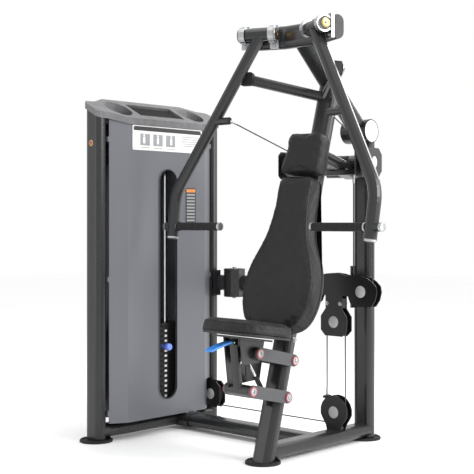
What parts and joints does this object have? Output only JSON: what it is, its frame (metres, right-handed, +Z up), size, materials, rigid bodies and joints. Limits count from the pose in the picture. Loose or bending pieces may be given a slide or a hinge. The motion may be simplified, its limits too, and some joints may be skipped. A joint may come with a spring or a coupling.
{
  "type": "chest press machine",
  "caption": "Selectorised seated chest press: overhead pivoting arms, sloping back pad, adjustable seat and a shrouded weight stack joined by cables.",
  "frame": {"origin": "centre of the bounding box at floor level", "axes": "+Z up; the seated user faces -Y; the weight tower stands on the -X side, at the user's right hand"},
  "size_m": [1.596, 1.1346, 1.913],
  "materials": {
    "frame_paint": "charcoal metallic powder coat, satin",
    "black_paint": "black powder coat, satin",
    "link_grey": "mid grey metallic powder coat",
    "rubber": "moulded black rubber, matte",
    "bearing_silver": "silver painted cast housing",
    "chrome": "hard chrome plated",
    "panel_grey": "satin grey metallic sheet",
    "cap_silver": "light silver moulded plastic",
    "upholstery": "charcoal synthetic leather, fine grain",
    "stack_iron": "black enamelled plates",
    "dark_steel": "dark steel",
    "pin_blue": "glossy blue knob on a steel pin",
    "lever_blue": "blue moulded plastic",
    "pulley_nylon": "black nylon",
    "cable_black": "black sheathed steel cable"
  },
  "bodies": {
    "frame": {"foot_mast": "rubber", "foot_rear": "rubber", "foot_tower_front": "rubber", "foot_tower_rear": "rubber", "mast": "frame_paint", "main_base_beam": "frame_paint", "rear_upright": "frame_paint", "head_tube": "frame_paint", "arm_beam": "frame_paint", "stop_bar": "frame_paint", "pulley_crossbar": "frame_paint", "lower_pulley_bracket": "black_paint", "tower_pulley_bracket": "black_paint", "floor_link_beam": "frame_paint", "upper_link_beam": "frame_paint", "tower_front_post": "frame_paint", "tower_rear_post": "frame_paint", "tower_base_beam": "frame_paint", "tower_top_beam": "dark_steel", "tower_cap": "cap_silver", "shroud_inner": "panel_grey", "shroud_outer": "panel_grey", "guide_rod_front": "chrome", "guide_rod_rear": "chrome", "plates_resting": "stack_iron", "bearing_inner_left": "bearing_silver", "bearing_outer_left": "bearing_silver", "buffer_left": "rubber", "press_cable_left": "cable_black", "bearing_inner_right": "bearing_silver", "bearing_outer_right": "bearing_silver", "buffer_right": "rubber", "press_cable_right": "cable_black", "lift_cable": "cable_black", "back_pad": "upholstery", "headrest": "upholstery"},
    "arm_left": {"arm_left": "frame_paint", "grip_left": "rubber"},
    "arm_right": {"arm_right": "frame_paint", "grip_right": "rubber"},
    "upper_pulley_left": {"upper_pulley_left": "pulley_nylon"},
    "upper_pulley_right": {"upper_pulley_right": "pulley_nylon"},
    "yoke": {"yoke": "black_paint"},
    "yoke_pulley_left": {"yoke_pulley_left": "pulley_nylon"},
    "yoke_pulley_right": {"yoke_pulley_right": "pulley_nylon"},
    "block_pulley": {"block_pulley": "pulley_nylon"},
    "lower_pulley": {"lower_pulley": "pulley_nylon"},
    "tower_pulley": {"tower_pulley": "pulley_nylon"},
    "tower_top_pulley_rear": {"tower_top_pulley_rear": "pulley_nylon"},
    "tower_top_pulley_stack": {"tower_top_pulley_stack": "pulley_nylon"},
    "stack": {"head_plate": "stack_iron", "plates_lifted": "stack_iron"},
    "selector_pin": {"selector_pin": "pin_blue"},
    "seat_link_upper": {"seat_link_upper": "link_grey"},
    "seat_link_lower": {"seat_link_lower": "link_grey"},
    "seat_carriage": {"seat_carriage": "frame_paint", "seat_pad": "upholstery"},
    "seat_lever": {"seat_lever": "lever_blue"},
    "gas_spring_cylinder": {"gas_spring_cylinder": "black_paint"},
    "gas_spring_rod": {"gas_spring_rod": "chrome"}
  },
  "joints": [
    {"name": "press_left", "type": "hinge", "parent": "frame", "child": "arm_left", "pos_m": [0.33408, -0.07882, 1.8675], "axis": [-0.9205, 0.3907, 0], "range_deg": [0, 41], "deforming": ["press_cable_left"]},
    {"name": "press_right", "type": "hinge", "parent": "frame", "child": "arm_right", "pos_m": [0.02792, -0.07882, 1.8675], "axis": [-0.9205, -0.3907, 0], "range_deg": [0, 41], "deforming": ["press_cable_right"]},
    {"name": "yoke_rise", "type": "slide", "parent": "frame", "child": "yoke", "axis": [0, 0, 1], "range_m": [0, 0.135]},
    {"name": "stack_lift", "type": "slide", "parent": "frame", "child": "stack", "axis": [0, 0, 1], "range_m": [0, 0.27], "deforming": ["lift_cable"]},
    {"name": "pin_pull", "type": "slide", "parent": "stack", "child": "selector_pin", "axis": [1, 0, 0], "range_m": [0, 0.08]},
    {"name": "upper_pulley_spin_left", "type": "hinge", "parent": "frame", "child": "upper_pulley_left", "pos_m": [0.39693, 0.21969, 1.295], "axis": [0.9823, 0.1874, 0], "range_deg": [0, 290]},
    {"name": "yoke_pulley_spin_left", "type": "hinge", "parent": "yoke", "child": "yoke_pulley_left", "pos_m": [0.334, 0.27175, 0.715], "axis": [0, -1, 0], "range_deg": [0, 145]},
    {"name": "upper_pulley_spin_right", "type": "hinge", "parent": "frame", "child": "upper_pulley_right", "pos_m": [-0.03493, 0.21969, 1.295], "axis": [0.9823, -0.1874, 0], "range_deg": [0, 290]},
    {"name": "yoke_pulley_spin_right", "type": "hinge", "parent": "yoke", "child": "yoke_pulley_right", "pos_m": [0.028, 0.27175, 0.715], "axis": [0, 1, 0], "range_deg": [0, 145]},
    {"name": "block_pulley_spin", "type": "hinge", "parent": "yoke", "child": "block_pulley", "pos_m": [0.181, 0.27175, 0.57], "axis": [0, -1, 0], "range_deg": [0, 145]},
    {"name": "lower_pulley_spin", "type": "hinge", "parent": "frame", "child": "lower_pulley", "pos_m": [0.181, 0.27175, 0.154], "axis": [0, -1, 0], "range_deg": [0, 290]},
    {"name": "tower_pulley_spin", "type": "hinge", "parent": "frame", "child": "tower_pulley", "pos_m": [-0.614, 0.27175, 0.154], "axis": [0, -1, 0], "range_deg": [0, 290]},
    {"name": "tower_top_spin_rear", "type": "hinge", "parent": "frame", "child": "tower_top_pulley_rear", "pos_m": [-0.6724, 0.21903, 1.42], "axis": [-0.9948, 0.102, 0], "range_deg": [0, 290]},
    {"name": "tower_top_spin_stack", "type": "hinge", "parent": "frame", "child": "tower_top_pulley_stack", "pos_m": [-0.6946, 0.00247, 1.42], "axis": [-0.9948, 0.102, 0], "range_deg": [0, 290]},
    {"name": "seat_height", "type": "hinge", "parent": "frame", "child": "seat_link_upper", "pos_m": [0.181, -0.11125, 0.432], "axis": [-1, 0, 0], "range_deg": [-19.4, 4.6]},
    {"name": "seat_link_lower_pivot", "type": "hinge", "parent": "frame", "child": "seat_link_lower", "pos_m": [0.181, -0.15425, 0.278], "axis": [-1, 0, 0], "range_deg": [-19.6, 4.8]},
    {"name": "seat_level", "type": "hinge", "parent": "seat_link_upper", "child": "seat_carriage", "pos_m": [0.181, -0.33725, 0.483], "axis": [-1, 0, 0], "range_deg": [-4.8, 19.6]},
    {"name": "gas_spring_tilt", "type": "hinge", "parent": "frame", "child": "gas_spring_cylinder", "pos_m": [0.181, -0.21225, 0.268], "axis": [-1, 0, 0], "range_deg": [-17.8, 4.5]},
    {"name": "gas_spring_stroke", "type": "slide", "parent": "gas_spring_cylinder", "child": "gas_spring_rod", "axis": [0, -0.5525, 0.8335], "range_m": [-0.057, 0.014]},
    {"name": "lever_lift", "type": "hinge", "parent": "seat_carriage", "child": "seat_lever", "pos_m": [0.181, -0.44125, 0.534], "axis": [-1, 0, 0], "range_deg": [0, 12], "stiffness_Nm_per_rad": 2, "springref_deg": -17.19}
  ],
  "couplings": [
    {"joint": "press_right", "follows": "press_left", "ratio": 1},
    {"joint": "yoke_rise", "follows": "press_left", "m_per_rad": 0.185},
    {"joint": "stack_lift", "follows": "press_left", "m_per_rad": 0.37},
    {"joint": "upper_pulley_spin_left", "follows": "press_left", "ratio": 6.9811},
    {"joint": "yoke_pulley_spin_left", "follows": "press_left", "ratio": 3.4906},
    {"joint": "upper_pulley_spin_right", "follows": "press_left", "ratio": 6.9811},
    {"joint": "yoke_pulley_spin_right", "follows": "press_left", "ratio": 3.4906},
    {"joint": "block_pulley_spin", "follows": "press_left", "ratio": 3.4906},
    {"joint": "lower_pulley_spin", "follows": "press_left", "ratio": 6.9811},
    {"joint": "tower_pulley_spin", "follows": "press_left", "ratio": 6.9811},
    {"joint": "tower_top_spin_rear", "follows": "press_left", "ratio": 6.9811},
    {"joint": "tower_top_spin_stack", "follows": "press_left", "ratio": 6.9811},
    {"joint": "seat_link_lower_pivot", "follows": "seat_height", "ratio": 1},
    {"joint": "seat_level", "follows": "seat_height", "ratio": -1},
    {"joint": "gas_spring_tilt", "follows": "seat_height", "ratio": 0.9},
    {"joint": "gas_spring_stroke", "follows": "seat_height", "m_per_rad": 0.165}
  ]
}
